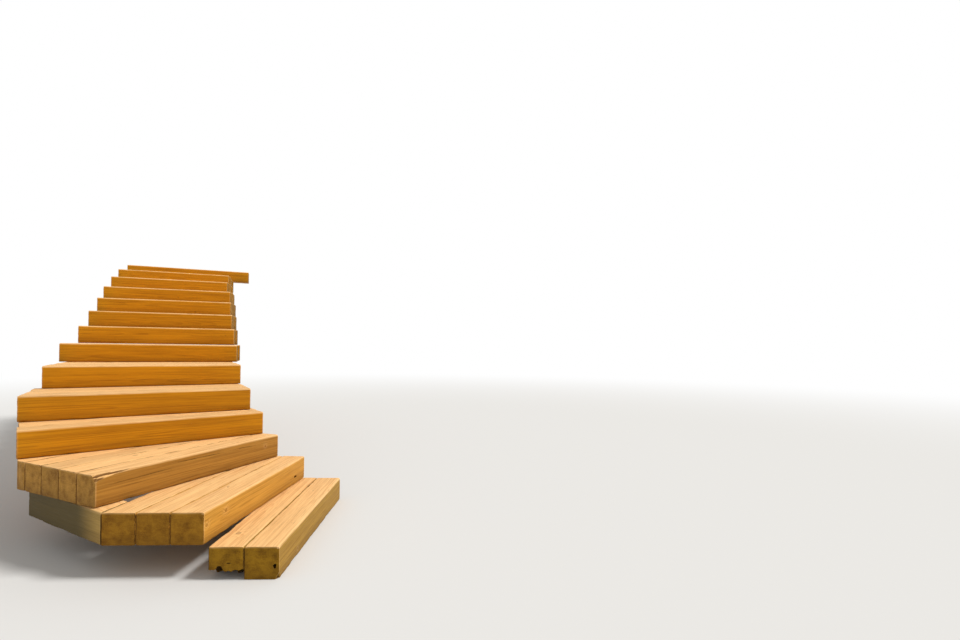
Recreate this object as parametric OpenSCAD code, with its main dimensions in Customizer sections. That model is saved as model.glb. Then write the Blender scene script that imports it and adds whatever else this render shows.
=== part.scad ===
// Timber steps that climb a bank: heavy square timbers laid side by side in courses.
// Each course is one timber high and rests on the back of the course below.
// The lower courses fan round the inner ends, so that the steps turn as they rise.
// Axes: X runs to the right along the upper courses, Y up the flight, Z up.
// The origin is the middle of the underside of the bottom course's front timber.

/* [Timber] */
// Height of every timber, which is also the rise of every step
timber = 140; // [125:5:165]
// Width of the timbers in the bottom course, which are from broader stock
bottom_width = 147; // [135:1:165]
// Length that the timbers are sawn to
timber_length = 1120; // [1000:10:1300]
// Radius of the eased long edges
eased_edge = 5; // [3:1:10]
// Radius that feet have worn on the front top edge of the upper courses
worn_nosing = 12; // [6:1:20]
// How far the sawn ends stand out of line with their neighbours
ragged = 5; // [0:1:12]

/* [Top course] */
// How much longer the timber at the head of the steps is than the others
top_extra = 255; // [0:25:600]

/* [Return timber] */
// Length of the timber that runs back into the bank under the third course's outer ends
return_length = 700; // [500:20:1000]
// How many degrees it is turned in from the line of those ends
return_turn = 5; // [0:1:9]

/* [Weathering] */
// How far in from the outer end rot has eaten the underside of the bottom course
rot_depth = 75; // [30:5:110]
// How high the rot has eaten into the end
rot_height = 36; // [20:2:50]
// Length of the splintered arris on the third course
splinter_length = 170; // [80:10:260]
// Width of the wood lost there at the outer end
splinter_width = 26; // [12:2:40]

/* [Hidden] */
$fn = 48;
FAR = 4 * timber_length;

// One row for each course, from the bottom to the top:
// timbers from front to back, heading in degrees, extra length,
// turn of the sawn outer ends from square in degrees,
// how far the next course's inner end is shifted along this one,
// and how far the next course lies over this one at the inner end.
COURSES = [
    [2, 72, -20, 0, 0, 70],
    [3, 67, -30, 5, -37, 259],
    [5, 50, -25, -5, -11, 597],
    [3, 22, 35, 0, -29, 264],
    [4, 14, 20, 0, 5, 126],
    [6, 11, -10, 0, 25, 278],
    [3, 2, 65, 0, -42, 142],
    [3, 1, 0, 0, -46, 129],
    [3, -1, -12, 0, -50, 95],
    [3, -2, -12, 0, -54, 53],
    [3, -1, 0, 0, -74, 40],
    [4, 0, -28, 0, -41, 40],
    [5, 2, 0, 0, 192, 40],
    [1, 2, top_extra, 0, 0, 0]
];
LAST = len(COURSES) - 1;
// The ends of the courses up to this one were sawn off flush after they were laid
LAST_FLUSH = 3;
// The courses from this one up are climbed most and have the worn nosing
FIRST_WORN = 4;
ROW_WORDS = ["front", "second", "third", "fourth", "fifth"];
TIMBER_COLOURS = ["#c98a3a", "#bf7f30", "#d29648"];

function timbers(c) = COURSES[c][0];
function heading(c) = COURSES[c][1];
function course_length(c) = timber_length + COURSES[c][2];
function end_turn(c) = COURSES[c][3];
function timber_width(c) = c == 0 ? bottom_width : timber;
function along(c) = [cos(heading(c)), sin(heading(c))];
function back(c) = [-sin(heading(c)), cos(heading(c))];
function going(c) = timbers(c) * timber_width(c) - COURSES[c][5];

// Plan position of a course's inner front corner, built up from the bottom course
function inner_corner(c) =
    c == 0 ? along(0) * course_length(0) / 2 - back(0) * bottom_width / 2
           : inner_corner(c - 1) + along(c - 1) * COURSES[c - 1][4] + back(c - 1) * going(c - 1);

// Small laying error of each timber, the same every time
function stagger(c, row) = c == 0 && row == 0 ? 0 : ragged * sin(137 * (5 * c + row));

// How far turned ends shift the middle of a timber along its course
function skew(c, row) = -(row + 0.5) * timber_width(c) * tan(end_turn(c));

function digits(n) = n < 10 ? str("0", n) : str(n);
function is_mitred(c, row) = c == 2 && row == timbers(c) - 1;
function row_word(c, row) = row == timbers(c) - 1 && row > 0 ? "rear" : ROW_WORDS[row];
function node_name(c, row) =
    c == LAST ? "top_edge_timber" : str("step_", digits(c + 1), "_", row_word(c, row), "_timber");

RETURN = "step_02_return_timber";

// What easing takes off one corner of the section
module spandrel(radius) {
    difference() {
        translate([-1, -1]) square(radius + 1);
        translate([radius, radius]) circle(r = radius);
    }
}

// Section of a timber, front side on the left, with its four long edges eased
module eased_section(width, nosing) {
    difference() {
        square([width, timber]);
        spandrel(eased_edge);
        translate([width, 0]) rotate(90) spandrel(eased_edge);
        translate([width, timber]) rotate(180) spandrel(eased_edge);
        translate([0, timber]) rotate(270) spandrel(nosing);
    }
}

// One timber lying along X from its outer end, with its front bottom edge on the X axis
module squared_timber(length, width, nosing) {
    rotate([90, 0, 90]) linear_extrude(height = length) eased_section(width, nosing);
}

// Moves to a course's plan position, with X along it and its outer end at zero
module at_course(c) {
    translate([inner_corner(c)[0], inner_corner(c)[1], c * timber])
        rotate([0, 0, heading(c)])
            translate([-course_length(c), 0, 0]) children();
}

// Everything beyond the plane of a course's sawn outer ends
module beyond_ends(c) {
    rotate([0, 0, end_turn(c)])
        translate([-FAR, -FAR / 2, -2 * timber]) cube([FAR, FAR, 4 * timber]);
}

// One timber of a course in the course's own frame, before anything is cut from it
module laid_timber(c, row) {
    nosing = row == 0 && c >= FIRST_WORN ? worn_nosing : eased_edge;
    spare = c < LAST_FLUSH ? timber : 0;
    shift = skew(c, row) + stagger(c, row);
    translate([shift - spare, row * timber_width(c), 0])
        squared_timber(course_length(c) + spare, timber_width(c), nosing);
}

// A timber with its outer end as it was sawn
module sawn_timber(c, row) {
    if (c < LAST_FLUSH)
        difference() {
            laid_timber(c, row);
            beyond_ends(c);
        }
    else laid_timber(c, row);
}

// Scalloped hollows that rot has eaten up into the underside, in from the outer end
module rot_hollows() {
    spots = [[0.12, 0.7], [0.38, 1], [0.64, 0.85], [0.88, 1]];
    for (spot = spots) {
        size = rot_height * spot[1];
        translate([0, spot[0] * bottom_width, 0]) {
            rotate([0, 90, 0]) cylinder(h = 2 * rot_depth * spot[1], r = size, center = true);
            translate([rot_depth * spot[1], 0, 0]) sphere(r = size);
        }
    }
}

// Wood splintered off the front top arris, widest at the outer end
module splintered_arris() {
    taper = atan(splinter_width / 2 / splinter_length);
    translate([splinter_length, 0, timber])
        rotate([45, 0, 0])
            rotate([0, -taper, 0])
                translate([-2 * splinter_length, -timber, 0])
                    cube([2.2 * splinter_length, 2 * timber, timber]);
}

// A timber with what rot, wear and the fit to the next course have taken off it
module course_timber(c, row) {
    color(TIMBER_COLOURS[(c + 2 * row) % 3])
        difference() {
            at_course(c) sawn_timber(c, row);
            if (c == 0 && row == 1) at_course(c) translate([0, bottom_width, 0]) rot_hollows();
            if (c == 2 && row == 0) at_course(c) splintered_arris();
            if (is_mitred(c, row)) at_course(c + 1) beyond_ends(c + 1);
        }
}

// The timber that closes the outer end of the second course, mitred against its rear timber.
// Its long outer face runs back under the outer ends of the third course.
module return_timber() {
    rear = timbers(1) * timber;
    line_of_ends = heading(2) - heading(1) + 90 + end_turn(2);
    color(TIMBER_COLOURS[0])
        at_course(1) difference() {
            translate([-rear * tan(end_turn(1)), rear, 0])
                rotate([0, 0, line_of_ends - return_turn])
                    translate([-timber, -timber, 0])
                        squared_timber(return_length + timber, timber, eased_edge);
            translate([-FAR, rear - FAR, -timber]) cube([2 * FAR, FAR, 3 * timber]);
        }
}

for (c = [0 : LAST])
    for (row = [0 : timbers(c) - 1])
        course_timber(c, row);
return_timber();
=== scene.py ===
import math
import random

import bmesh
import bpy
import numpy as np
from mathutils import Matrix, Vector, geometry, noise


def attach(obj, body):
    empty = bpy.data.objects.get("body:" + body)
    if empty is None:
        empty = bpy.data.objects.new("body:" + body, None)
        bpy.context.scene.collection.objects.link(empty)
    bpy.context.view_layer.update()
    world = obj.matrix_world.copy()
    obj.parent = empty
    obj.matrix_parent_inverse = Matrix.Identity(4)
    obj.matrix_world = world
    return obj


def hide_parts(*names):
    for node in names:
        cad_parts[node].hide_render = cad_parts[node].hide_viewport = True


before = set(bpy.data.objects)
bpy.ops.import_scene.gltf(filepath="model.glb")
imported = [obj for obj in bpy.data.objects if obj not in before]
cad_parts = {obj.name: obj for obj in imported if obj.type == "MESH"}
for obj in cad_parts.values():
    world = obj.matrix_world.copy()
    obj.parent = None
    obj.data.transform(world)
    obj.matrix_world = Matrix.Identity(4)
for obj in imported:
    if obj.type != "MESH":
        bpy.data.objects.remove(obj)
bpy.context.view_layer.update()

# Where the steps are seen from: an eye a metre up, in front of the lowest step and a
# little to its left, with a wide view and the head a touch to one side.
EYE = (-0.062, -2.794, 0.995)
LOOKS_RIGHT = math.radians(20.82)
HEAD_TILT = math.radians(0.80)
FILM_WIDTH = 36.0
LENS = 18.55
VIEW_RAISED = 0.0279
view_camera = bpy.data.objects.new("eye", bpy.data.cameras.new("eye"))
bpy.context.scene.collection.objects.link(view_camera)
view_camera.data.sensor_width = FILM_WIDTH
view_camera.data.lens = LENS
view_camera.data.shift_y = VIEW_RAISED
view_camera.matrix_world = (
    Matrix.Translation(EYE)
    @ Matrix.Rotation(-LOOKS_RIGHT, 4, "Z")
    @ Matrix.Rotation(math.radians(90), 4, "X")
    @ Matrix.Rotation(HEAD_TILT, 4, "Z")
)
bpy.context.scene.camera = view_camera


# The bottom course: two broad timbers of softwood, laid side by side. Like all the others
# they are sawn square, eased along their edges and split by drying. Rot has eaten up into
# the outer end of the rear one, and the front one has a hole there.
class Wire:
    """What comes out of a node's socket. Arithmetic on a number adds Math nodes."""

    def __init__(self, tree, source):
        self.tree, self.source = tree, source

    def maths(self, operation, *numbers):
        node = add_node(self.tree, "ShaderNodeMath", {"operation": operation},
                        dict(enumerate(numbers)))
        return Wire(self.tree, node.outputs[0])

    def __add__(self, other):
        return self.maths("ADD", self, other)

    def __radd__(self, other):
        return self.maths("ADD", other, self)

    def __sub__(self, other):
        return self.maths("SUBTRACT", self, other)

    def __rsub__(self, other):
        return self.maths("SUBTRACT", other, self)

    def __mul__(self, other):
        return self.maths("MULTIPLY", self, other)

    def __rmul__(self, other):
        return self.maths("MULTIPLY", other, self)

    def __truediv__(self, other):
        return self.maths("DIVIDE", self, other)

    def __rtruediv__(self, other):
        return self.maths("DIVIDE", other, self)

    def __pow__(self, other):
        return self.maths("POWER", self, other)

    def __rpow__(self, other):
        return self.maths("POWER", other, self)

    def __abs__(self):
        return self.maths("ABSOLUTE", self)

    def __gt__(self, other):
        return self.maths("GREATER_THAN", self, other)

    def __lt__(self, other):
        return self.maths("LESS_THAN", self, other)

    def root(self):
        return self.maths("SQRT", self)

    def exp(self):
        return self.maths("EXPONENT", self)

    def sine(self):
        return self.maths("SINE", self)

    def cosine(self):
        return self.maths("COSINE", self)

    def whole(self):
        return self.maths("FLOOR", self)

    def part(self):
        return self.maths("FRACT", self)

    def sign(self):
        return self.maths("SIGN", self)

    def at_least(self, other):
        return self.maths("MAXIMUM", self, other)

    def at_most(self, other):
        return self.maths("MINIMUM", self, other)

    def clipped(self):
        """Kept between 0 and 1."""
        return self.at_least(0.0).at_most(1.0)

    def rise(self, start, end):
        """0 below start and 1 above end, with a smooth step between."""
        node = add_node(self.tree, "ShaderNodeMapRange", {"interpolation_type": "SMOOTHSTEP"},
                        {"Value": self, "From Min": start, "From Max": end})
        return Wire(self.tree, node.outputs[0])

    def parts(self):
        """The three numbers of a vector."""
        node = add_node(self.tree, "ShaderNodeSeparateXYZ", {}, {0: self})
        return [Wire(self.tree, socket) for socket in node.outputs]


def add_node(tree, kind, settings=None, sockets=None):
    """A new node: its settings go in first, then the values or links of its sockets."""
    node = tree.nodes.new(kind)
    for key, value in (settings or {}).items():
        setattr(node, key, value)
    for key, value in (sockets or {}).items():
        if isinstance(key, int):
            socket = node.inputs[key]
        else:
            socket = next(s for s in node.inputs if s.enabled and s.name == key)
        if isinstance(value, Wire):
            tree.links.new(value.source, socket)
        else:
            socket.default_value = value
    return node


def out(node, name=0):
    """A node's output as a wire, by name or number."""
    if isinstance(name, int):
        return Wire(node.id_data, node.outputs[name])
    return Wire(node.id_data, next(s for s in node.outputs if s.enabled and s.name == name))


def vector(tree, x, y, z):
    """Three numbers as one vector."""
    return out(add_node(tree, "ShaderNodeCombineXYZ", {}, {0: x, 1: y, 2: z}))


def noise_at(tree, place, detail, roughness=0.5, shift=0.0):
    """Noise of scale 1 at a place: its value, and two more that don't follow it."""
    node = add_node(tree, "ShaderNodeTexNoise", {"noise_dimensions": "4D"},
                    {"Vector": vector(tree, *place), "W": shift, "Scale": 1.0,
                     "Detail": detail, "Roughness": roughness})
    return out(node, "Fac"), *out(node, "Color").parts()[1:]


# What one timber is made from, in metres and whole numbers, with a plain timber's values
TIMBER_SIZES = [
    ("Outer end at front", "NodeSocketFloat", 0.0),
    ("Outer end at its bend", "NodeSocketFloat", 0.0),
    ("Outer end at back", "NodeSocketFloat", 0.0),
    ("Outer bend", "NodeSocketFloat", 0.07),
    ("Inner end at front", "NodeSocketFloat", 1.12),
    ("Inner end at its bend", "NodeSocketFloat", 1.12),
    ("Inner end at back", "NodeSocketFloat", 1.12),
    ("Inner bend", "NodeSocketFloat", 0.07),
    ("Width", "NodeSocketFloat", 0.14),
    ("Height", "NodeSocketFloat", 0.14),
    ("Eased edge", "NodeSocketFloat", 0.005),
    ("Nosing", "NodeSocketFloat", 0.005),
    ("Stations", "NodeSocketInt", 72),
    ("Lines on a face", "NodeSocketInt", 10),
    ("Unevenness", "NodeSocketFloat", 0.0014),
    ("Wear", "NodeSocketFloat", 0.003),
    ("Checks", "NodeSocketInt", 3),
    ("Check width", "NodeSocketFloat", 0.0022),
    ("End checks", "NodeSocketInt", 3),
    ("Chips", "NodeSocketInt", 10),
    ("End chips", "NodeSocketInt", 6),
    ("Bite", "NodeSocketObject", None),
    ("Pith across", "NodeSocketFloat", 0.07),
    ("Pith height", "NodeSocketFloat", 0.07),
    ("First knot", "NodeSocketVector", (0.3, 0.0, 0.07)),
    ("First knot size", "NodeSocketFloat", 0.012),
    ("Second knot", "NodeSocketVector", (0.8, 0.07, 0.14)),
    ("Second knot size", "NodeSocketFloat", 0.010),
    ("In front", "NodeSocketFloat", 0.0),
    ("Tone", "NodeSocketFloat", 0.5),
    ("Seed", "NodeSocketInt", 1),
    ("Heading", "NodeSocketFloat", 0.0),
    ("Place", "NodeSocketVector", (0.0, 0.0, 0.0)),
    ("Finish", "NodeSocketMaterial", None),
]
ALMOST_HALF = 0.4999
STATIONS_BUNCHED = 0.7
# How far from a face, an arris and an end the drying and wear of each are felt
FACE_MARGIN, ARRIS_MARGIN, END_MARGIN = 0.03, 0.009, 0.004
END_SHRINKAGE = 0.0016
CHECK_WANDERS = 0.012
# What the saw takes past its line, and how deep its scores and the tufts beside them are
SAW_LOSS, SAW_SCORES, SAW_TUFTS = 0.0002, 0.0009, 0.0016
# How far what is sawn off reaches past the sides and past the end
OFFCUT_ASIDE, OFFCUT_AHEAD = 0.02, 0.09
SAWN_EDGE_MARGIN = 0.007
# How far apart along one endless log the grain of two seeds lies
SEED_SPACING = 3.37
# A face whose direction lies this much along the timber is a sawn end
SAWN_END_FACING = 0.72
OUTER, INNER = 0, 1


class TimberTree:
    """The node tree that makes a timber from its sizes: sawn, dried, split and chipped."""

    def __init__(self):
        self.tree = bpy.data.node_groups.new("squared timber", "GeometryNodeTree")
        for label, kind, default in TIMBER_SIZES:
            socket = self.tree.interface.new_socket(label, in_out="INPUT", socket_type=kind)
            if default is not None:
                socket.default_value = default
        self.tree.interface.new_socket("Timber", in_out="OUTPUT",
                                       socket_type="NodeSocketGeometry")
        given = add_node(self.tree, "NodeGroupInput")
        self.size = {label: out(given, label) for label, _, _ in TIMBER_SIZES}
        self.width, self.height = self.size["Width"], self.size["Height"]
        self.seed = self.size["Seed"]
        self.start = self.size["Outer end at front"]
        self.length = self.size["Inner end at front"] - self.start
        self.grow()

    def grow(self):
        """Everything that makes the timber, in the order in which it happens to it."""
        body = self.dried_and_worn(self.drawn_out(self.section()))
        blade, lump = self.blade(), self.lump()
        bite = self.node("GeometryNodeObjectInfo", {"transform_space": "ORIGINAL"},
                         {"Object": self.size["Bite"]}, "Geometry")
        for tool in (self.saw_cut(OUTER), self.saw_cut(INNER), self.face_checks(blade),
                     self.end_checks(blade), self.chips(lump), self.end_chips(lump), bite):
            body = self.node("GeometryNodeMeshBoolean",
                             {"operation": "DIFFERENCE", "solver": "MANIFOLD"},
                             {"Mesh 1": body, "Mesh 2": tool}, "Mesh")
        body = self.told_to_the_finish(body)
        turn = self.node("FunctionNodeAxisAngleToRotation", {},
                         {"Axis": (0, 0, 1), "Angle": self.size["Heading"]})
        body = self.node("GeometryNodeTransform", {},
                         {"Geometry": body, "Translation": self.size["Place"],
                          "Rotation": turn})
        body = self.node("GeometryNodeRealizeInstances", {}, {"Geometry": body})
        body = self.node("GeometryNodeSetMaterial", {},
                         {"Geometry": body, "Material": self.size["Finish"]})
        add_node(self.tree, "NodeGroupOutput", {}, {"Timber": body})

    def node(self, kind, settings=None, sockets=None, name=0):
        return out(add_node(self.tree, kind, settings, sockets), name)

    def vector(self, x, y, z):
        return vector(self.tree, x, y, z)

    def where(self):
        """The coordinates of each point of the body that is worked on."""
        return self.node("GeometryNodeInputPosition").parts()

    def chance(self, low, high, shift):
        """A random number, which differs for each copy, each timber and each shift."""
        return self.node("FunctionNodeRandomValue", {"data_type": "FLOAT"},
                         {"Min": low, "Max": high, "Seed": self.seed + shift}, "Value")

    def ripple(self, place, detail, roughness, shift):
        """Noise at a place, which differs for each timber and each shift. The place is a
        point times how often the noise changes in a metre each way."""
        return noise_at(self.tree, place, detail, roughness, self.seed * shift)

    def put(self, body, x, y, z):
        """Moves every point of a body to a new place."""
        return self.node("GeometryNodeSetPosition", {},
                         {"Geometry": body, "Position": self.vector(x, y, z)})

    def line(self, start, end, stations):
        line = self.node("GeometryNodeCurvePrimitiveLine", {"mode": "POINTS"},
                         {"Start": start, "End": end})
        return self.node("GeometryNodeResampleCurve", {"mode": "COUNT"},
                         {"Curve": line, "Count": stations})

    def scatter(self, count, place, shape, turn, scale):
        """Copies of a shape, each with its own place, turn and scale."""
        points = self.node("GeometryNodePoints", {}, {"Count": count, "Position": place},
                           "Points")
        copies = self.node("GeometryNodeInstanceOnPoints", {},
                           {"Points": points, "Instance": shape, "Rotation": turn,
                            "Scale": scale})
        return self.node("GeometryNodeRealizeInstances", {}, {"Geometry": copies})

    def sawn_ends(self, y):
        """Where the two sawn ends are along the timber. They may be out of square, and
        each may have one bend."""
        ends = []
        for end in ("Outer", "Inner"):
            front, middle, back, bend = (
                self.size[end + part]
                for part in (" end at front", " end at its bend", " end at back", " bend"))
            to_bend = (y / bend).clipped()
            past_bend = ((y - bend) / (self.width - bend)).clipped()
            ends.append(front + to_bend * (middle - front) + past_bend * (back - middle))
        return ends

    def from_faces(self, y, z):
        """How far a point lies from the nearest side, and from the top or underside."""
        return (self.width * 0.5 - abs(y - self.width * 0.5),
                self.height * 0.5 - abs(z - self.height * 0.5))

    def section(self):
        """The sawn square, with points on its faces and four eased arrises."""
        square = self.node("GeometryNodeCurvePrimitiveQuadrilateral", {"mode": "RECTANGLE"},
                           {"Width": self.width, "Height": self.height})
        square = self.node("GeometryNodeSubdivideCurve", {},
                           {"Curve": square, "Cuts": self.size["Lines on a face"]})
        across, up, _ = self.where()
        corner = ((abs(across) > self.width * ALMOST_HALF)
                  * (abs(up) > self.height * ALMOST_HALF))
        nose = (across < 0.0) * (up > 0.0)
        eased, nosing = self.size["Eased edge"], self.size["Nosing"]
        return self.node("GeometryNodeFilletCurve", {"mode": "POLY"},
                         {"Curve": square, "Count": 4, "Limit Radius": True,
                          "Radius": corner * (eased + nose * (nosing - eased))})

    def drawn_out(self, section):
        """The section drawn out from end to end, with its stations closer near the ends."""
        line = self.line((0, 0, 0), (0, 0, 1), self.size["Stations"])
        body = self.node("GeometryNodeCurveToMesh", {},
                         {"Curve": line, "Profile Curve": section, "Fill Caps": True})
        across, up, along = self.where()
        bunched = along - (along * math.tau).sine() * (STATIONS_BUNCHED / math.tau)
        outer, inner = self.sawn_ends(across + self.width * 0.5)
        return self.put(body, outer + bunched * (inner - outer),
                        across + self.width * 0.5, up + self.height * 0.5)

    def dried_and_worn(self, body):
        """Faces that dried a little uneven, and arrises knocked and worn in places."""
        x, y, z = self.where()
        side_near, level_near = self.from_faces(y, z)
        outer, inner = self.sawn_ends(y)
        end_near = (x - outer).at_most(inner - x)
        warp = self.ripple((x * 1.6, y * 7.0, z * 7.0), 1.0, 0.5, 1.7)
        waves = self.ripple((x * 11.0, y * 45.0, z * 45.0), 1.0, 0.5, 2.3)
        knocks = self.ripple((x * 16.0, y * 9.0, z * 9.0), 2.0, 0.6, 3.1)
        sunk = self.size["Unevenness"] * (warp[0] * 0.8 + waves[0] * 0.5)
        near_arris = ((side_near * side_near + level_near * level_near)
                      / (-ARRIS_MARGIN * ARRIS_MARGIN)).exp()
        lost = (self.size["Wear"] * near_arris * (knocks[0] * 3.2 - 1.35).at_least(0.0)
                + END_SHRINKAGE * (1.0 - end_near.rise(0.0, END_MARGIN)))
        side_sunk = sunk * (1.0 - side_near.rise(0.0, FACE_MARGIN)) + lost
        level_sunk = sunk * (1.0 - level_near.rise(0.0, FACE_MARGIN)) + lost
        return self.put(body, x, y - (y - self.width * 0.5).sign() * side_sunk,
                        z - (z - self.height * 0.5).sign() * level_sunk)

    def saw_cut(self, end):
        """What the saw takes off an end: its cut is scored and tufted, a little hollow, and
        worn back at its edges."""
        block = self.node("GeometryNodeMeshCube", {},
                          {"Size": self.vector(1.0, self.width + OFFCUT_ASIDE,
                                               self.height + OFFCUT_ASIDE),
                           "Vertices X": 2, "Vertices Y": 30, "Vertices Z": 30}, "Mesh")
        across, y, z = self.where()
        y, z = y + self.width * 0.5, z + self.height * 0.5
        cutting_side = across > 0.0 if end == OUTER else across < 0.0
        inwards = 1.0 if end == OUTER else -1.0
        side_near, level_near = self.from_faces(y, z)
        edge = side_near.at_most(level_near).at_least(0.0)
        scores = self.ripple((y * 14.0, z * 130.0, end * 9.0), 1.0, 0.5, 6.1)
        tufts = self.ripple((y * 38.0, z * 38.0, end * 5.0), 2.0, 0.6, 7.3)
        at_edge = (edge * edge / (-SAWN_EDGE_MARGIN * SAWN_EDGE_MARGIN)).exp()
        cut = (SAW_LOSS + scores[0] * SAW_SCORES + tufts[0] * SAW_TUFTS
               + at_edge * (tufts[1] - 0.3).at_least(0.0) * self.size["Wear"] * 1.6)
        reach = cutting_side * cut - (1.0 - cutting_side) * OFFCUT_AHEAD
        return self.put(block, self.sawn_ends(y)[end] + inwards * reach, y, z)

    def blade(self):
        """A blade, thin at both ends and at its foot, that splits the wood for a check."""
        line = self.line((0, 0, -0.5), (0, 0, 0.5), 18)
        wedge = self.node("GeometryNodeCurvePrimitiveQuadrilateral", {"mode": "POINTS"},
                          {"Point 1": (-0.5, 0.25, 0), "Point 2": (0.5, 0.25, 0),
                           "Point 3": (0.05, -1.0, 0), "Point 4": (-0.05, -1.0, 0)})
        run = self.node("GeometryNodeSplineParameter", {}, {}, "Factor")
        blade = self.node("GeometryNodeCurveToMesh", {},
                          {"Curve": line, "Profile Curve": wedge, "Fill Caps": True,
                           "Scale": (run * (1.0 - run) * 4.0).at_least(0.0002) ** 0.7})
        across, up, along = self.where()
        return self.put(blade, along, across, up)

    def face_checks(self, blade):
        """Drying checks on the top, front and back, which wander along the grain."""
        face, spot = self.chance(0.0, 2.6, 11).whole(), self.chance(0.12, 0.88, 12)
        on_top, on_back = face < 0.5, face > 1.5
        on_front = 1.0 - on_top - on_back
        place = self.vector(
            self.start + self.length * self.chance(0.05, 0.95, 13),
            on_top * spot * self.width + on_back * self.width,
            on_top * self.height + (1.0 - on_top) * spot * self.height)
        turn = self.node("FunctionNodeAxisAngleToRotation", {},
                         {"Axis": (1, 0, 0), "Angle": (on_front - on_back) * (math.pi / 2)})
        long = self.chance(0.16, 0.62, 14)
        wide = self.size["Check width"] * self.chance(0.5, 1.5, 15)
        deep = self.chance(0.008, 0.02, 16)
        checks = self.scatter(self.size["Checks"], place, blade, turn,
                              self.vector(long, wide, deep))
        x, y, z = self.where()
        drift = self.ripple((x * 6.0, y * 3.0, z * 3.0), 2.0, 0.6, 4.7)
        return self.put(checks, x, y + (drift[0] - 0.5) * CHECK_WANDERS,
                        z + (drift[1] - 0.5) * CHECK_WANDERS)

    def end_checks(self, blade):
        """Checks that run out from the pith over the sawn ends."""
        at_inner, angle = self.chance(0.0, 1.0, 21) > 0.5, self.chance(0.0, math.tau, 22)
        reach = self.chance(0.012, 0.03, 23)
        y = self.size["Pith across"] + angle.cosine() * reach
        z = self.size["Pith height"] + angle.sine() * reach
        outer, inner = self.sawn_ends(y)
        turn = self.node("FunctionNodeAxesToRotation",
                         {"primary_axis": "X", "secondary_axis": "Z"},
                         {"Primary Axis": self.vector(0.0, angle.cosine(), angle.sine()),
                          "Secondary Axis": self.vector(at_inner * 2.0 - 1.0, 0.0, 0.0)})
        long = reach * self.chance(1.2, 2.2, 24)
        wide = self.size["Check width"] * self.chance(0.4, 1.1, 25)
        deep = self.chance(0.008, 0.03, 26)
        return self.scatter(self.size["End checks"],
                            self.vector(outer + at_inner * (inner - outer), y, z), blade,
                            turn, self.vector(long, wide, deep))

    def lump(self):
        """A rugged lump, which leaves its shape where wood is chipped away."""
        lump = self.node("GeometryNodeMeshIcoSphere", {}, {"Radius": 1.0, "Subdivisions": 3},
                         "Mesh")
        x, y, z = self.where()
        bulge = 0.55 + self.ripple((x * 1.4, y * 1.4, z * 1.4), 1.0, 0.5, 5.3)[0] * 0.9
        return self.put(lump, x * bulge, y * bulge, z * bulge)

    def chips(self, lump):
        """Chips knocked out of the long arrises."""
        arris = self.chance(0.0, 3.4, 31).whole()
        at_back, at_foot = (arris > 0.5) * (arris < 1.5), arris > 2.5
        place = self.vector(self.start + self.length * self.chance(0.0, 1.0, 32),
                            at_back * self.width, self.height * (1.0 - at_foot))
        long = self.chance(0.008, 0.045, 33)
        wide, deep = self.chance(0.002, 0.0055, 34), self.chance(0.002, 0.0055, 35)
        turn = self.vector(self.chance(0.0, math.tau, 36), 0.0, 0.0)
        return self.scatter(self.size["Chips"], place, lump, turn,
                            self.vector(long, wide, deep))

    def end_chips(self, lump):
        """Chips knocked out of the upright arrises of both ends."""
        at_inner, at_back = self.chance(0.0, 1.0, 41) > 0.5, self.chance(0.0, 1.0, 42) > 0.5
        outer, inner = self.sawn_ends(at_back * self.width)
        place = self.vector(outer + at_inner * (inner - outer), at_back * self.width,
                            self.height * self.chance(0.04, 0.98, 43))
        long, wide = self.chance(0.003, 0.011, 44), self.chance(0.002, 0.0052, 45)
        high = self.chance(0.003, 0.013, 46)
        turn = self.vector(0.0, 0.0, self.chance(0.0, math.tau, 47))
        return self.scatter(self.size["End chips"], place, lump, turn,
                            self.vector(long, wide, high))

    def told_to_the_finish(self, body):
        """What the wood's finish has to know: where a point lies in the log, how far it is
        from each face, where the knots are, and whether its face is a sawn end."""
        x, y, z = self.where()
        outer, inner = self.sawn_ends(y)

        def in_the_log(along, across, up):
            return self.vector(along + self.seed * SEED_SPACING,
                               across - self.size["Pith across"],
                               up - self.size["Pith height"])

        facing = abs(self.node("GeometryNodeInputNormal", {}, {}, "Normal").parts()[0])
        vectors = {
            "grain": in_the_log(x, y, z),
            "from_low": self.vector(x - outer, y, z),
            "from_high": self.vector(inner - x, self.width - y, self.height - z),
            "first_knot": in_the_log(*self.size["First knot"].parts()),
            "second_knot": in_the_log(*self.size["Second knot"].parts()),
        }
        numbers = {
            "tone": self.size["Tone"],
            "in_front": self.size["In front"],
            "sawn_end": facing > SAWN_END_FACING,
            "first_knot_size": self.size["First knot size"],
            "second_knot_size": self.size["Second knot size"],
        }
        for name, value in (vectors | numbers).items():
            body = self.node("GeometryNodeStoreNamedAttribute",
                             {"data_type": "FLOAT_VECTOR" if name in vectors else "FLOAT",
                              "domain": "FACE" if name == "sawn_end" else "POINT"},
                             {"Geometry": body, "Name": name, "Value": value})
        return body


timber_tree = TimberTree().tree

# How much an upright face may lean, and by how many degrees a long side may be turned
LEAN_WITHIN = 0.05
TURN_WITHIN = 0.8
# An end is read at so many places, the first and last this far in from the sides, and it
# has a bend where it leaves the straight line by more than the least bend
END_PLACES = 141
FROM_THE_SIDES = 0.0005
LEAST_BEND = 0.001


def back_of(solid):
    """The direction that a timber's back faces, from the largest of its upright faces."""
    upright = [(math.degrees(math.atan2(f.normal.y, f.normal.x)) % 180, f.area, f.normal)
               for f in solid.polygons if abs(f.normal.z) < LEAN_WITHIN]
    areas = {}
    for turn, area, _ in upright:
        areas[round(turn)] = areas.get(round(turn), 0.0) + area
    side = max(areas, key=areas.get)
    return sum(((normal if normal.y > 0 else -normal) * area
                for turn, area, normal in upright if abs(turn - side) < TURN_WITHIN),
               Vector()).normalized()


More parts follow.
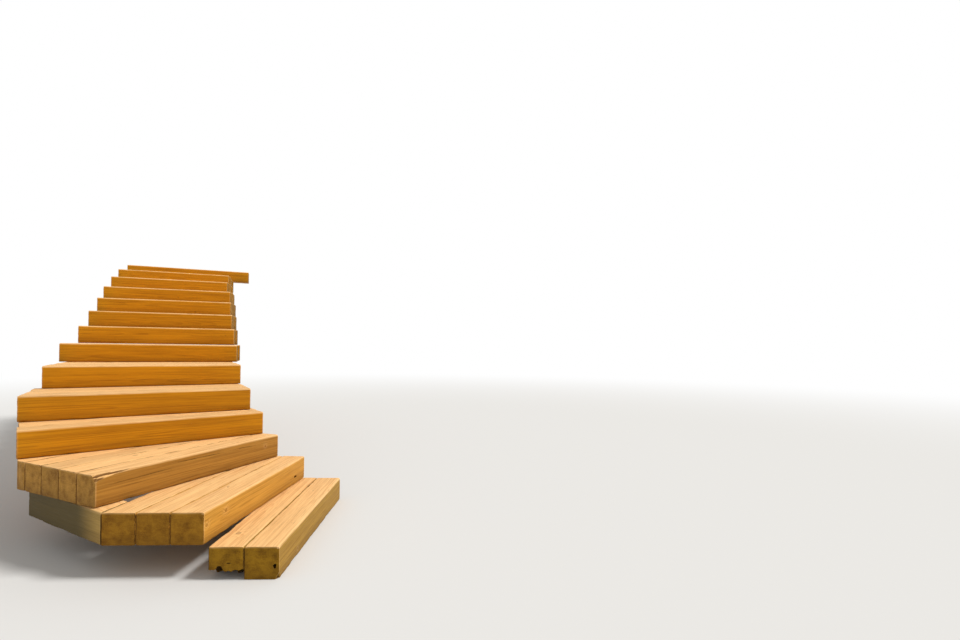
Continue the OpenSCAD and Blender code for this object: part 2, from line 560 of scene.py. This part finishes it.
def end_line(plan, across, pick):
    """Where a timber's plan ends, for each place across it."""
    line = []
    for y in across:
        crossings = [p.x + (q.x - p.x) * (y - p.y) / (q.y - p.y)
                     for p, q in zip(plan, plan[1:] + plan[:1])
                     if (p.y - y) * (q.y - y) <= 0 and p.y != q.y]
        line.append(pick(crossings))
    return np.array(line)


def lie_of(name):
    """How a solid timber lies: its heading, the corner that its own sizes start from, and
    the lines of its ends from front to back, each with one bend."""
    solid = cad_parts[name].data
    points = np.array([v.co for v in solid.vertices])
    back = back_of(solid)
    along = Vector((back.y, -back.x, 0))
    local = points @ np.array([along, back, (0, 0, 1)]).T
    low, high = local.min(0), local.max(0)
    width = high[1] - low[1]
    plan = [Vector((p[0] - low[0], p[1] - low[1])) for p in local]
    plan = [plan[i] for i in geometry.convex_hull_2d(plan)]
    lies = {"Heading": math.atan2(along.y, along.x), "Width": width, "Height": high[2] - low[2],
            "Place": along * low[0] + back * low[1] + Vector((0, 0, low[2]))}
    across = np.linspace(FROM_THE_SIDES, width - FROM_THE_SIDES, END_PLACES)
    for end, pick in (("Outer", min), ("Inner", max)):
        line = end_line(plan, across, pick)
        off = np.abs(line - np.interp(across, across[[0, -1]], line[[0, -1]]))
        bend = int(np.argmax(off)) if off.max() > LEAST_BEND else len(across) // 2
        lies |= {end + " end at front": line[0], end + " end at its bend": line[bend],
                 end + " end at back": line[-1], end + " bend": across[bend]}
    return lies


def clear_crumbs(mesh):
    """Closes up the shortest edges, as far as the surface stays whole, and leaves only the
    timber's own body, without the loose crumbs that the cuts left."""
    shape = bmesh.new()
    for closest in (0.00005, 0.00001, 0.0):
        shape.clear()
        shape.from_mesh(mesh)
        if closest:
            bmesh.ops.dissolve_degenerate(shape, dist=closest, edges=shape.edges)
        if all(len(edge.link_faces) == 2 for edge in shape.edges):
            break
    waiting, bodies = set(shape.faces), []
    while waiting:
        front = [waiting.pop()]
        found = list(front)
        while front:
            for edge in front.pop().edges:
                for face in edge.link_faces:
                    if face in waiting:
                        waiting.remove(face)
                        front.append(face)
                        found.append(face)
        bodies.append(found)
    bodies.sort(key=len)
    bmesh.ops.delete(shape, geom=[f for crumb in bodies[:-1] for f in crumb], context="FACES")
    bmesh.ops.delete(shape, geom=[v for v in shape.verts if not v.link_faces], context="VERTS")
    bmesh.ops.recalc_face_normals(shape, faces=shape.faces)
    shape.to_mesh(mesh)
    shape.free()


laid = set()
# Where a plain timber's back and top are, from its front bottom edge
BACK, TOP = 0.14, 0.14
# Two faces that meet at more than this show a sharp edge
SHARP_FROM = math.radians(34)


def lay_timber(name, finish, seed, sizes=None):
    """Makes one timber to its solid's lie, and lets it stand for the solid. Any of the
    timber tree's sizes can be set; the others are the solid's or left to the seed."""
    lies, sizes = lie_of(name), sizes or {}
    length, chance = lies["Inner end at front"], random.Random(seed)
    values = {
        "Seed": seed, "Tone": chance.random(), "Finish": finish,
        "Pith across": 0.07 + chance.uniform(-0.03, 0.03),
        "Pith height": 0.06 + chance.uniform(-0.03, 0.03),
        "First knot": (chance.uniform(0.1, 0.9) * length, chance.choice((0.0, BACK)),
                       chance.uniform(0.03, 0.11)),
        "First knot size": chance.choice((0.0, 0.0, 0.004, 0.008)),
        "Second knot": (chance.uniform(0.1, 0.9) * length, chance.uniform(0.03, 0.11), TOP),
        "Second knot size": chance.choice((0.0, 0.004, 0.006, 0.009)),
        "In front": float("front" in name or "top_edge" in name or "return" in name),
        **lies, **sizes}
    piece = bpy.data.objects.new(name + "_sawn", bpy.data.meshes.new(name))
    bpy.context.scene.collection.objects.link(piece)
    growing = piece.modifiers.new("squared timber", "NODES")
    growing.node_group = timber_tree
    for socket in timber_tree.interface.items_tree:
        if socket.in_out == "INPUT" and socket.name in values:
            value = values[socket.name]
            growing[socket.identifier] = float(value) if isinstance(value, float) else value
    grown = piece.evaluated_get(bpy.context.evaluated_depsgraph_get())
    made = bpy.data.meshes.new_from_object(grown)
    piece.modifiers.remove(growing)
    if "Bite" in sizes:
        bpy.data.objects.remove(sizes["Bite"])
    clear_crumbs(made)
    piece.data = made
    made.shade_smooth()
    made.set_sharp_from_angle(angle=SHARP_FROM)
    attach(piece, "root")
    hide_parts(name)
    laid.add(name)


def lay_course(step, finish, seed, sizes=None, front=None):
    """Lays the timbers of one course that haven't been laid by name. The sizes are for all
    of them, or for the front one alone."""
    course = sorted(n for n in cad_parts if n.startswith(f"step_{step:02}_"))
    for row, name in enumerate(course):
        if name not in laid:
            own = front if front and "front" in name else {}
            lay_timber(name, finish, seed + row, {**(sizes or {}), **own})


def shell(surface, axis, outside, rows, columns):
    """The corners and faces of a closed body that lies between a surface, given for 0 to 1
    both ways, and the same surface moved out along one axis to a plane."""
    def moved_out(u, v):
        point = list(surface(u, v))
        point["xyz".index(axis)] = outside
        return tuple(point)

    def at(i, j):
        return i * (columns + 1) + j

    corners = [side(i / rows, j / columns) for side in (surface, moved_out)
               for i in range(rows + 1) for j in range(columns + 1)]
    sheet = (rows + 1) * (columns + 1)
    faces = []
    for i in range(rows):
        for j in range(columns):
            face = (at(i, j), at(i, j + 1), at(i + 1, j + 1), at(i + 1, j))
            faces += [face, tuple(sheet + corner for corner in reversed(face))]
    rim = ([at(0, j) for j in range(columns)] + [at(i, columns) for i in range(rows)]
           + [at(rows, j) for j in range(columns, 0, -1)] + [at(i, 0) for i in range(rows, 0, -1)])
    for one, two in zip(rim, rim[1:] + rim[:1]):
        faces.append((two, one, sheet + one, sheet + two))
    return corners, faces


def bite(*hollows):
    """A body that takes wood away. Each hollow is the surface that it leaves in the wood,
    the axis and the plane that it reaches out to, and its rows and columns."""
    corners, faces = [], []
    for hollow in hollows:
        its_corners, its_faces = shell(*hollow)
        faces += [tuple(len(corners) + corner for corner in face) for face in its_faces]
        corners += its_corners
    mesh = bpy.data.meshes.new("bite")
    mesh.from_pydata(corners, [], faces)
    shape = bmesh.new()
    shape.from_mesh(mesh)
    bmesh.ops.recalc_face_normals(shape, faces=shape.faces)
    shape.to_mesh(mesh)
    shape.free()
    body = bpy.data.objects.new("bite", mesh)
    bpy.context.scene.collection.objects.link(body)
    body.hide_render = True
    return body


# Where a hollow takes no wood, its surface stays this far outside the timber
OUTSIDE = -0.002


def plateau(value, middle, spread):
    """1 near the middle, with a flat top, and 0 well away from it."""
    return math.exp(-((value - middle) / spread) ** 4)


def fibres(x, y, z, along=9.0, across=160.0):
    """Noise drawn out along the timber, from about -1 to 1."""
    return (noise.noise((x * along, y * across, z * across))
            + 0.5 * noise.noise((x * along * 3, y * across * 2.3, z * across * 2.3 + 5.0)))


def rotten_underside(u, v):
    """Rot has eaten the foot of the outer end away from below. It leaves a lip that sags in
    the middle and an arch beside it, all torn along the fibres."""
    x, y = -0.004 + 0.134 * u, -0.004 + 0.155 * v
    arch = 0.017 * plateau(y, 0.101, 0.014)
    lip = 0.006 * plateau(y, 0.066, 0.020)
    ragged = noise.noise((y * 70, 1.0, 4.0)) * 0.005 + noise.noise((y * 210, 3.0, 2.0)) * 0.002
    deep = 0.088 + noise.noise((y * 32, 7.0, 1.0)) * 0.035
    taper = max(0.0, 1.0 - max(0.0, x / deep) ** 2.5) ** 0.6
    torn = fibres(x, y, 0.0) * 0.0022 + noise.noise((x * 60, y * 60, 2.0)) * 0.006
    height = (0.044 + arch - lip + ragged + torn * min(1.0, x / 0.02)) * taper
    return x, y, max(-0.004, height - 0.002)


def dent_over_the_lip(u, v):
    """A shallow rotten dent in the sawn end, just over the sagging lip."""
    y, z = 0.044 + 0.040 * u, 0.058 + 0.024 * v
    side = (y - 0.063) / 0.010
    rise = (z - 0.0695 - noise.noise((y * 90, 2.0, 6.0)) * 0.002) / 0.003
    hollow = 0.009 * math.exp(-(side * side + rise * rise) ** 2)
    return max(OUTSIDE, hollow * (1.0 + noise.noise((y * 200, z * 200, 4.0)) * 0.5) - 0.001), y, z


def hole_and_ragged_foot(u, v):
    """A rotten hole in the sawn end near its front, and the corner at its foot crumbled."""
    y, z = -0.006 + 0.056 * u, -0.006 + 0.086 * v
    side = (y - 0.020 - noise.noise((z * 150, 3.0, 1.0)) * 0.004) / (0.0062 + (z - 0.056) * 0.14)
    rise = (z - 0.056 - noise.noise((y * 150, 5.0, 2.0)) * 0.005) / 0.0095
    hole = 0.024 * math.exp(-(side * side + rise * rise) ** 2)
    foot = 0.032 * max(0.0, 1.0 - max(y, 0.0) / 0.020 - max(z, 0.0) / 0.040)
    rough = noise.noise((y * 130, z * 130, 7.0)) * 0.45 + noise.noise((y * 300, z * 300, 1.0)) * 0.2
    return max(OUTSIDE, (hole + foot) * (1.0 + rough) - 0.001), y, z


def rgb(red, green, blue):
    """A colour from its everyday 0 to 255 numbers."""
    return *(((c / 255 + 0.055) / 1.055) ** 2.4 if c > 10 else c / 255 / 12.92
             for c in (red, green, blue)), 1.0


# Treads are paler partly from wear, partly as painted sunlight on every face that looks up
TREAD_WORN_AND_SUNLIT = (rgb(253, 203, 137), rgb(216, 153, 90))
# Pale of rubbed wear, also used as a painted highlight on edges
RUBBED_AND_HIGHLIGHT = rgb(252, 202, 138)
SEAM_DIRT_AND_SHADE = rgb(52, 30, 12)
FOOT_DIRT_AND_SHADE = rgb(66, 40, 14)
SOIL = rgb(92, 60, 22)
KNOT_WOOD = rgb(132, 76, 26)
KNOT_RIM = rgb(92, 50, 18)
DAMP_GREEN_AND_SHADE = rgb(72, 62, 30)
TORN_STRANDS = (rgb(236, 182, 112), rgb(112, 72, 26))
SPLIT_SHADE = rgb(50, 28, 10)
RING_WIDTH = 0.0043
LEAST_KNOT = 0.0004
# The margins, in metres, over which wear, dirt, painted highlights, painted shade and splits fade
# out
NOSING_RUBBED_AND_LIT = (0.006, 0.013)
EDGE_RUBBED_AND_LIT = (0.003, 0.010)
SEAM_DARKENED = (0.0022, 0.0052)
SPLIT_SHADED = (0.0032, 0.008)
WOUND_EDGE = (0.028, 0.034)
WOUND_DEPTH = (0.0015, 0.003)
DAMP_AND_SHADE_SET_IN = (-0.02, 0.2)
FOOT_HEIGHT = 0.07
SOILED_END = 0.03


class StainedWood:
    """Softwood under a wash of stain: growth rings through the whole timber, fibres and
    knots; paler where it is walked on and rubbed, with painted sunlight on its tops and a
    painted highlight on its edges; dull on sawn ends; darkened with painted shade in its splits."""

    def __init__(self, name):
        self.material = bpy.data.materials.new(name)
        self.material.use_nodes = True
        self.tree = self.material.node_tree
        self.tree.nodes.clear()
        self.along, self.across, self.up = self.told("grain", "Vector").parts()
        self.tone, self.in_front = self.told("tone"), self.told("in_front")
        self.sawn_end = self.told("sawn_end")
        self.low = self.told("from_low", "Vector").parts()
        self.high = self.told("from_high", "Vector").parts()
        self.end_near, side_near, level_near = (
            low.at_most(high) for low, high in zip(self.low, self.high))
        self.depth = side_near.at_most(level_near).at_most(self.end_near)
        self.split = self.depth.rise(*SPLIT_SHADED)
        facing_up = self.node("ShaderNodeNewGeometry", {}, {}, "Normal").parts()[2]
        # Faces that look up get the tread colour: partly wear, partly painted sunlight
        self.worn_and_sunlit_top = facing_up.rise(0.55, 0.9) * (1.0 - self.high[2].rise(0.011, 0.015))
        self.knot, self.rim, self.swirl = self.knots()
        self.late = self.late_wood()
        self.fibre = self.figure((9.0, 420.0, 420.0), 2.0, 0.6)
        self.streak = self.figure((2.0, 120.0, 120.0), 2.0, 0.55)
        self.cloud = self.figure((3.2, 9.0, 9.0), 3.0, 0.6)
        self.blotch = self.figure((1.0, 26.0, 26.0), 3.0, 0.6)
        self.saw = self.figure((0.0, 22.0, 420.0), 1.0, 0.5)
        self.pores = self.figure((0.0, 260.0, 260.0), 2.0, 0.7)
        self.dashes = self.fibre[1].rise(0.60, 0.72)

    def node(self, kind, settings=None, sockets=None, name=0):
        return out(add_node(self.tree, kind, settings, sockets), name)

    def told(self, name, output="Fac"):
        """What the timber says of a point."""
        return self.node("ShaderNodeAttribute", {"attribute_name": name}, {}, output)

    def blend(self, share, one, other, how="MIX"):
        """One colour with a share of another."""
        return self.node("ShaderNodeMix", {"data_type": "RGBA", "blend_type": how},
                         {"Factor": share, "A": one, "B": other}, "Result")

    def figure(self, often, detail, roughness):
        """Noise that changes so often in a metre along, across and up the timber."""
        place = [at * times for at, times in zip((self.along, self.across, self.up), often)]
        return noise_at(self.tree, place, detail, roughness)

    def knots(self):
        """The timber's two knots, which grow out from the pith: their wood, their rims, and
        how far the rings swirl round them."""
        knot, rim, swirl = 0.0, 0.0, 0.0
        for which in ("first_knot", "second_knot"):
            knot_x, knot_y, knot_z = self.told(which, "Vector").parts()
            reach = (knot_y * knot_y + knot_z * knot_z).root().at_least(0.01)
            out_y, out_z = knot_y / reach, knot_z / reach
            outward = self.across * out_y + self.up * out_z
            aside = self.across * out_z - self.up * out_y
            size = (self.told(which + "_size") * outward / reach).at_least(LEAST_KNOT)
            off = (self.along - knot_x) * 0.8
            from_knot = (off * off + aside * aside).root() / size
            ahead = outward > 0.004
            knot = knot + (1.0 - from_knot.rise(0.75, 1.1)) * ahead
            rim = rim + from_knot.rise(0.7, 0.95) * (1.0 - from_knot.rise(1.0, 1.35)) * ahead
            swirl = swirl + ((from_knot * from_knot) * -0.12).exp() * ahead
        return knot, rim, swirl

    def late_wood(self):
        """The dark part of each growth ring. The rings lie about a pith that wanders."""
        bend = noise_at(self.tree, (self.along * 1.1, self.tone * 9.0, 0.0), 1.0)
        log_y = self.across + (bend[1] - 0.5) * 0.05
        log_z = self.up + (bend[2] - 0.5) * 0.05
        radius = (log_y * log_y + log_z * log_z).root()
        wave = noise_at(self.tree, (self.along * 2.2, log_y * 12.0, log_z * 12.0), 2.0)
        rings = (radius / RING_WIDTH + wave[0] * 2.6 + self.swirl * 2.2).part()
        return rings.rise(0.35, 0.88) * (1.0 - rings.rise(0.9, 1.0))

    def stained(self, face, tread, end):
        """Stained faces; treads, paler from wear and from painted sunlight; and sawn ends, which
        drink the stain, are darkened further with painted shade, and show their rings and the
        marks of the saw. Each has a pale colour and that of its lines."""
        lines = (self.late * 0.3 + (self.streak[0] - 0.5) * 2.1 + (self.fibre[0] - 0.5) * 1.1
                 + 0.17).clipped()
        colour = self.blend(self.worn_and_sunlit_top, self.blend(lines, *face), self.blend(lines, *tread))
        colour = self.blend(self.dashes * (0.22 + self.worn_and_sunlit_top * 0.28), colour, face[1])
        # Sawn ends are darker partly because they drink the stain, partly as painted shade
        end_lines = (self.late * 0.4 + (self.pores[0] - 0.5) * 1.6 + (self.saw[0] - 0.5) * 1.0
                     + (self.blotch[0] - 0.5) * 2.6 + 0.25).clipped()
        return self.blend(self.sawn_end, colour, self.blend(end_lines, *end))

    def rubbed_soiled_and_painted_light(self, colour, pale_wear_and_highlight):
        """Rubbed pale, with a painted highlight, along the nosing and the edges of the ends;
        dirty and darkened with painted shade in the seams; darker at the foot with dirt and
        painted shade; and soiled on the inner end."""
        patchy = 0.4 + self.cloud[1].rise(0.35, 0.65) * 0.6
        # The nosing and the top edges of the ends are paler partly from wear, partly as a painted
        # highlight
        nosing = (1.0 - self.low[1].at_least(self.high[2]).rise(*NOSING_RUBBED_AND_LIT)) * self.in_front
        top_end_wear_and_highlight = ((1.0 - self.end_near.at_least(self.high[2]).rise(*EDGE_RUBBED_AND_LIT))
                   * (0.55 + self.blotch[1] * 0.6))
        colour = self.blend((nosing * 0.85 + top_end_wear_and_highlight * 0.6).at_most(1.0) * patchy, colour, pale_wear_and_highlight)
        # The seams between timbers are darkened partly by dirt, partly as painted shade in the gap
        seam_dirt_and_shade = 1.0 - (self.low[1] + self.in_front).at_most(self.high[1]).rise(*SEAM_DARKENED)
        seam_dirt_and_shade = seam_dirt_and_shade * (self.worn_and_sunlit_top + self.sawn_end).at_most(1.0) * (self.tone + 0.5).at_most(1.0)
        colour = self.blend(seam_dirt_and_shade * 0.9, colour, SEAM_DIRT_AND_SHADE)
        # The upright edges beside the ends get a painted highlight, with a little wear
        end_arris_wear_and_highlight = (1.0 - self.end_near.at_least(self.low[1]).rise(*EDGE_RUBBED_AND_LIT)) * self.in_front
        colour = self.blend(end_arris_wear_and_highlight * (1.0 - self.sawn_end) * 0.22, colour, pale_wear_and_highlight)
        # Risers darken towards their foot, partly with dirt, partly as painted shade from the tread
        # below
        foot = ((1.0 - self.low[2].rise(0.0, FOOT_HEIGHT)) * (0.2 + self.cloud[2] * 0.24)
                * (1.0 - self.worn_and_sunlit_top))
        colour = self.blend(foot, colour, FOOT_DIRT_AND_SHADE)
        soiled = (self.sawn_end * (1.0 - self.high[0].rise(0.0, SOILED_END))
                  * (0.15 + self.blotch[2] * 0.3))
        return self.blend(soiled, colour, SOIL)

    def knotted_and_shaded(self, colour, pale_wear_and_highlight):
        """The knots with their rims and pale surrounds, and broad lighter and darker areas."""
        halo = (self.swirl - self.knot - self.rim).clipped() * (1.0 - self.late * 0.9)
        for share, tint in ((halo * 0.22, pale_wear_and_highlight), (self.knot * 0.42, KNOT_WOOD),
                            (self.rim * 0.35, KNOT_RIM)):
            colour = self.blend(share * (1.0 - self.sawn_end), colour, tint)
        # Broad lighter and darker areas and each timber's tone; a low tone on the fourth and fifth
        # fronts is painted shade
        shade = 0.72 + self.cloud[0] * 0.26 + self.tone * 0.24
        return self.blend(1.0, colour, vector(self.tree, shade, shade, shade), "MULTIPLY")

    def dampened_and_shaded(self, colour, damp_and_shade):
        """Damp, green and darkened with painted shade away from the inner end, and more so low
        down.
        """
        from_inner = self.high[0] + (self.cloud[1] - 0.5) * 0.09 - self.low[2] * 0.15
        share = from_inner.rise(*DAMP_AND_SHADE_SET_IN) * damp_and_shade * (1.0 - self.worn_and_sunlit_top * 0.5)
        return self.blend(share, colour, DAMP_GREEN_AND_SHADE)

    def torn_open(self, colour, torn):
        """Bare strands of wood where the front top edge is splintered away."""
        wound = ((1.0 - self.low[0].rise(torn * 0.9, torn * 1.1))
                 * (1.0 - self.low[1].rise(*WOUND_EDGE)) * (1.0 - self.high[2].rise(*WOUND_EDGE)))
        wound = wound * self.depth.rise(*WOUND_DEPTH)
        strands = (self.streak[1].rise(0.40, 0.60)
                   + self.fibre[0].rise(0.52, 0.7) * 0.6).at_most(1.0)
        self.split = self.split * (1.0 - wound)
        return self.blend(wound, colour, self.blend(strands, *TORN_STRANDS))

    def surfaced(self, colour):
        """Darkened with painted shade in its splits and hollows, dull, and rough along its
        fibres and under the saw's marks.
        """
        # Painted shade deep in splits and hollows, by their depth
        colour = self.blend(self.split * 0.85, colour, SPLIT_SHADE)
        relief = (self.late * 0.3 + (self.fibre[0] - 0.5) * 0.8 + (self.streak[0] - 0.5) * 0.5
                  - self.dashes * 0.5 + self.knot * 0.5
                  + self.sawn_end * ((self.saw[0] - 0.5) * 1.6 + (self.pores[0] - 0.5) * 1.5))
        roughness = (0.6 + (self.fibre[0] - 0.5) * 0.25 + self.sawn_end * 0.2
                     + self.worn_and_sunlit_top * 0.08 + self.split * 0.2).at_most(1.0)
        shader = self.node("ShaderNodeBsdfPrincipled", {}, {
            "Base Color": colour,
            "Roughness": roughness,
            "Specular IOR Level": 0.14,
            "Normal": self.node("ShaderNodeBump", {},
                                {"Strength": 0.55, "Distance": 0.0011, "Height": relief}),
        }, "BSDF")
        add_node(self.tree, "ShaderNodeOutputMaterial", {}, {"Surface": shader})


def wood_finish(name, face, end, pale_wear_and_highlight=RUBBED_AND_HIGHLIGHT, damp_and_shade=0.0, torn=0.0):
    """The finish of some of the timbers. Face and end are each a pale colour and the darker
    one of its lines, damp_and_shade is how wet the wood is and how much painted shade
    darkens it, and torn is how far in from the outer end its edge is splintered."""
    wood = StainedWood(name)
    colour = wood.stained(face, TREAD_WORN_AND_SUNLIT, end)
    colour = wood.rubbed_soiled_and_painted_light(colour, pale_wear_and_highlight)
    colour = wood.knotted_and_shaded(colour, pale_wear_and_highlight)
    if damp_and_shade:
        colour = wood.dampened_and_shaded(colour, damp_and_shade)
    if torn:
        colour = wood.torn_open(colour, torn)
    wood.surfaced(colour)
    return wood.material


foot_stain = wood_finish(
    "stained timber at the foot", face=(rgb(176, 134, 52), rgb(132, 92, 28)),
    end=(rgb(164, 120, 26), rgb(112, 76, 10)))
# A timber that is hollowed out needs its points closer together
CLOSE_POINTS = {"Lines on a face": 14, "Stations": 90}
lay_timber("step_01_front_timber", foot_stain, 4, {
    **CLOSE_POINTS, "Tone": 0.5,
    "Bite": bite((hole_and_ragged_foot, "x", -0.03, 40, 60))})
lay_timber("step_01_rear_timber", foot_stain, 6, {
    **CLOSE_POINTS, "Tone": 0.45, "End checks": 5,
    "Second knot": (0.155, 0.088, TOP), "Second knot size": 0.010,
    "Bite": bite((rotten_underside, "z", -0.03, 70, 110),
                 (dent_over_the_lip, "x", -0.02, 40, 24))})


# The second course: three softwood timbers, laid on the back of the bottom one, and a
# fourth that returns at their outer end under the course above. It is mitred against the
# rear one, damp and green, and darkened with painted shade away from its inner end.
def knot_hole(u, v):
    """A dead knot has dropped out of the front face near its inner end."""
    x, z = 0.921 + 0.068 * u, 0.022 + 0.044 * v
    hole = 0.018 * math.exp(-((x - 0.955) / 0.014) ** 4 - ((z - 0.044) / 0.0065) ** 4)
    return x, max(OUTSIDE, hole * (1.2 + noise.noise((x * 200, z * 200, 3.0))) - 0.001), z


def crumbled_seam(u, v):
    """Small crumbs lost from the back edge of the sawn end, most at its top."""
    y, z = 0.126 + 0.020 * u, -0.006 + 0.155 * v
    near = max(0.0, 1.0 - (0.141 - y) / (0.004 + 0.006 * max(0.0, z / TOP) ** 3))
    crumbs = max(0.0, 0.35 + noise.noise((y * 90, z * 110, 4.0)) * 1.2)
    return max(OUTSIDE, 0.007 * near ** 0.5 * crumbs - 0.001), y, z


weathered_stain = wood_finish(
    "stained timber low down", face=(rgb(206, 150, 60), rgb(160, 106, 34)),
    end=(rgb(170, 120, 32), rgb(118, 76, 14)))
# The return timber's colours and its darkening away from the inner end are partly painted shade
damp_stain_with_shade = wood_finish(
    "damp timber with painted shade", face=(rgb(174, 140, 72), rgb(132, 104, 50)),
    end=(rgb(140, 112, 60), rgb(96, 74, 38)), pale_wear_and_highlight=rgb(206, 166, 104), damp_and_shade=0.9)
lay_timber("step_02_front_timber", weathered_stain, 12, {
    **CLOSE_POINTS, "Tone": 0.55, "End chips": 10,
    "First knot": (0.184, 0.0, 0.094), "First knot size": 0.007,
    "Second knot": (0.034, 0.0, 0.079), "Second knot size": 0.006,
    "Bite": bite((knot_hole, "y", -0.02, 40, 30), (crumbled_seam, "x", -0.02, 16, 90))})
lay_timber("step_02_return_timber", damp_stain_with_shade, 15, {"Lines on a face": 12})
lay_course(2, weathered_stain, 17, {"End chips": 10, "Tone": 0.5})


# The third course: five softwood timbers, laid on the second, and the widest of the
# winders. Its front timber has split along its face, and its front top edge is splintered
# away at the outer end.
def splintered_edge(u, v):
    """Wood torn off in splinters along the front top edge, most at the outer end."""
    x, y = -0.005 + 0.200 * u, -0.006 + 0.042 * v
    wide = 0.027 * max(0.0, 1.0 - max(x, 0.0) / 0.175) ** 0.8
    torn = fibres(x, y, 0.3, 11.0, 210.0)
    lost = (wide - max(y, 0.0)) * 0.95 + torn * 0.0045 * min(1.0, wide / 0.008)
    corner = 0.020 * max(0.0, 1.0 - max(x, 0.0) / 0.018) ** 2
    return x, y, TOP - max(OUTSIDE, lost + corner * max(0.0, 1.0 - y / 0.03))


def shake(start, end, low, high, wide, deep):
    """A long split along the front face, as a hollow for a bite: where it runs along the
    timber, its heights at either end, its width and its depth."""
    def surface(u, v):
        x = start + (end - start) * u
        ease = min(1.0, max(0.25, 0.65 + 1.2 * noise.noise((x * 8, low * 50, 6.0))))
        swell = ease * math.sin(math.pi * (0.002 + 0.996 * u)) ** 0.6
        middle = (low + (high - low) * u + noise.noise((x * 7, low * 50, 0.0)) * 0.003
                  + noise.noise((x * 40, low * 50, 0.0)) * 0.0008)
        ragged = 1.0 + 0.5 * noise.noise((x * 30, 9.0, v))
        z = middle + (v - 0.5) * wide * max(0.3, swell) * ragged
        return x, deep * swell * (1 - (2 * v - 1) ** 2) - 0.0007, z
    return surface, "y", -0.01, 150, 4


# The third course's faces are darkened with painted shade
stain_with_painted_shade = wood_finish(
    "stained timber of the third course", face=(rgb(176, 124, 50), rgb(132, 86, 26)),
    end=(rgb(194, 144, 66), rgb(140, 96, 38)), torn=0.18)
lay_timber("step_03_rear_timber", stain_with_painted_shade, 27, {"End checks": 0, "End chips": 3})
lay_timber("step_03_front_timber", stain_with_painted_shade, 22, {
    **CLOSE_POINTS, "Tone": 0.5, "Checks": 5,
    "Bite": bite((splintered_edge, "z", 0.17, 90, 60),
                 shake(0.27, 1.06, 0.116, 0.104, 0.0042, 0.011),
                 shake(0.04, 0.38, 0.088, 0.094, 0.0034, 0.009),
                 shake(0.08, 0.30, 0.066, 0.068, 0.0024, 0.007),
                 shake(0.46, 0.74, 0.050, 0.046, 0.0022, 0.007))})
lay_course(3, stain_with_painted_shade, 24, {"End chips": 9})

# The fourth to the thirteenth courses: the last winders and the straight flight, of the
# same squared softwood, each laid on the one below. They are stained a deeper gold, and
# from the fifth one up the nosing of each front timber is worn round.
WORN_NOSING = 0.012
golden_stain = wood_finish(
    "golden stained timber", face=(rgb(208, 137, 12), rgb(160, 97, 2)),
    end=(rgb(172, 124, 40), rgb(124, 84, 20)))
# The fronts of the fourth and fifth courses get a low tone: painted shade that darkens their faces
lay_course(4, golden_stain, 31, front={"Tone": 0.12})
lay_course(5, golden_stain, 42, front={"Tone": 0.12, "Nosing": WORN_NOSING})
for step, tone in enumerate((0.5, 0.6, 0.72, 0.62, 0.78, 0.8, 0.75, 0.7), start=6):
    lay_course(step, golden_stain, 10 * step + 7, front={"Tone": tone, "Nosing": WORN_NOSING})

# The timber at the head of the steps, laid on the back of the thirteenth course: longer
# than the others, of the same squared softwood and under the same golden stain.
lay_timber("top_edge_timber", golden_stain, 151, {"Nosing": WORN_NOSING, "Tone": 0.6})


# The floor that the steps are shown on: one pale, plain sheet, which fades into a white
# backdrop where it is far away.
WHITE = (1, 1, 1, 1)
FADE_START, FADE_END = 5.0, 16.0
FLOOR_REACH = 60.0


def seen_rays(tree):
    """1 for rays that show the backdrop itself or a reflection of it."""
    rays = add_node(tree, "ShaderNodeLightPath")
    return (out(rays, "Is Camera Ray") + out(rays, "Is Glossy Ray")
            + out(rays, "Is Transmission Ray")).at_most(1.0)


def backdrop_finish(name, colour):
    """A plain colour, which turns to white as it gets further from the steps."""
    finish = bpy.data.materials.new(name)
    finish.use_nodes = True
    tree = finish.node_tree
    tree.nodes.clear()
    x, y, _ = out(add_node(tree, "ShaderNodeTexCoord"), "Object").parts()
    faded = (x * x + y * y).root().rise(FADE_START, FADE_END)
    plain = add_node(tree, "ShaderNodeBsdfDiffuse", {}, {"Color": colour})
    bright = add_node(tree, "ShaderNodeEmission", {}, {"Color": WHITE, "Strength": 1.0})
    mix = add_node(tree, "ShaderNodeMixShader", {},
                   {0: seen_rays(tree) * faded, 1: out(plain), 2: out(bright)})
    add_node(tree, "ShaderNodeOutputMaterial", {}, {"Surface": out(mix)})
    return finish


floor_mesh = bpy.data.meshes.new("floor")
floor_mesh.from_pydata(
    [(-FLOOR_REACH, -FLOOR_REACH, 0), (FLOOR_REACH, -FLOOR_REACH, 0),
     (FLOOR_REACH, FLOOR_REACH, 0), (-FLOOR_REACH, FLOOR_REACH, 0)], [], [(0, 1, 2, 3)])
floor = bpy.data.objects.new("floor", floor_mesh)
bpy.context.scene.collection.objects.link(floor)
floor_mesh.materials.append(backdrop_finish("pale floor", rgb(226, 224, 220)))

# Soft studio light: a pale surround, which looks white behind the steps, and one broad
# lamp high on the right and in front.
SURROUND_LIGHT = 0.5
LAMP_LIGHT = 2.5
LAMP_BREADTH = math.radians(14)
LAMP_SHINES_ALONG = Vector((-0.62, 0.24, -0.75))
world = bpy.data.worlds.new("surround")
bpy.context.scene.world = world
world.use_nodes = True
world.node_tree.nodes.clear()
seen_as_white = SURROUND_LIGHT + seen_rays(world.node_tree) * (1.0 - SURROUND_LIGHT)
around = add_node(world.node_tree, "ShaderNodeBackground", {},
                  {"Color": WHITE, "Strength": seen_as_white})
add_node(world.node_tree, "ShaderNodeOutputWorld", {}, {"Surface": out(around)})
key = bpy.data.objects.new("key lamp", bpy.data.lights.new("key lamp", "SUN"))
bpy.context.scene.collection.objects.link(key)
key.data.energy = LAMP_LIGHT
key.data.angle = LAMP_BREADTH
key.rotation_euler = LAMP_SHINES_ALONG.to_track_quat("-Z", "Y").to_euler()

bpy.context.scene.view_settings.view_transform = "Standard"
